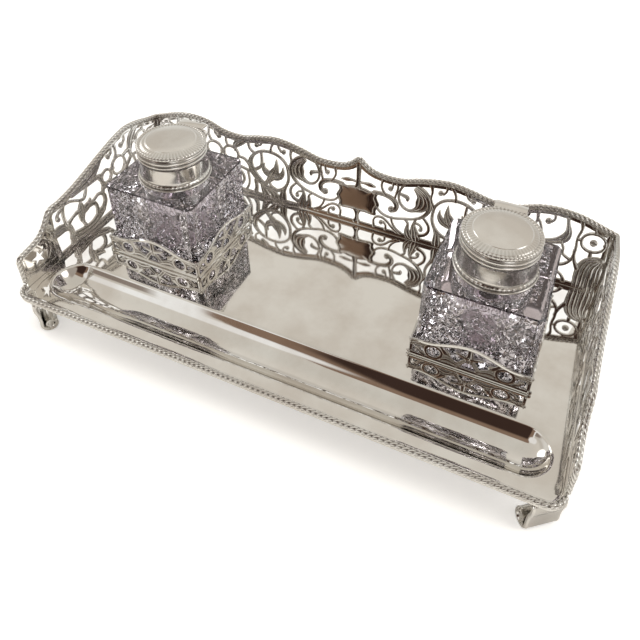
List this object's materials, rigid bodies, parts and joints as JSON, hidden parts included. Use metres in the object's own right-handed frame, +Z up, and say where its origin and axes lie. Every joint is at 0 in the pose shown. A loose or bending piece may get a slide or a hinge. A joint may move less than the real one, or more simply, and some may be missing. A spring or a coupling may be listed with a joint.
{
  "type": "desk inkstand",
  "caption": "Footed silver desk inkstand: pierced scroll galleries on the sides, a long pen trough, and square cut-glass inkwells with hinged round lids in pierced holders.",
  "frame": {"origin": "on the desk, under the middle of the tray", "axes": "+X along the tray to the viewer's right, +Y from the pen trough to the back gallery, +Z up"},
  "size_m": [0.2736, 0.1306, 0.0865],
  "materials": {
    "sheet_silver": "polished silver plate, mirror-like, with fine wear",
    "pierced_silver": "polished pierced silver, darker in the cut edges",
    "rope_silver": "polished silver with dark tarnish in the grooves of the rope",
    "cast_silver": "polished cast silver with soft wear",
    "spun_silver": "polished spun silver",
    "pin_wire": "polished silver wire",
    "cut_glass": "clear glass with finely cut sides and a plain bevelled top",
    "plaster": "matt plaster between the glass neck and the collar"
  },
  "bodies": {
    "stand": {"tray": "sheet_silver", "front_border": "rope_silver", "back_gallery": "pierced_silver", "left_gallery": "pierced_silver", "right_gallery": "pierced_silver", "back_border": "rope_silver", "left_border": "rope_silver", "right_border": "rope_silver", "front_left_foot": "cast_silver", "front_right_foot": "cast_silver", "back_left_foot": "cast_silver", "back_right_foot": "cast_silver", "left_holder": "pierced_silver", "right_holder": "pierced_silver"},
    "left_inkwell": {"left_bottle": "cut_glass", "left_neck_plaster": "plaster", "left_collar": "spun_silver", "left_collar_knuckles": "cast_silver", "left_hinge_pin": "pin_wire"},
    "left_cover": {"left_lid": "spun_silver", "left_lid_bead_ring": "rope_silver", "left_lid_leaf": "cast_silver"},
    "right_inkwell": {"right_bottle": "cut_glass", "right_neck_plaster": "plaster", "right_collar": "spun_silver", "right_collar_knuckles": "cast_silver", "right_hinge_pin": "pin_wire"},
    "right_cover": {"right_lid": "spun_silver", "right_lid_bead_ring": "rope_silver", "right_lid_leaf": "cast_silver"}
  },
  "joints": [
    {"name": "left_inkwell_lift", "type": "slide", "parent": "stand", "child": "left_inkwell", "axis": [0, 0, 1], "range_m": [0, 0.09]},
    {"name": "left_lid_hinge", "type": "hinge", "parent": "left_inkwell", "child": "left_cover", "pos_m": [-0.0857, 0.0332, 0.0805], "axis": [-1, 0, 0], "range_deg": [0, 105]},
    {"name": "right_inkwell_lift", "type": "slide", "parent": "stand", "child": "right_inkwell", "axis": [0, 0, 1], "range_m": [0, 0.09]},
    {"name": "right_lid_hinge", "type": "hinge", "parent": "right_inkwell", "child": "right_cover", "pos_m": [0.0857, 0.0332, 0.0805], "axis": [-1, 0, 0], "range_deg": [0, 105]}
  ]
}
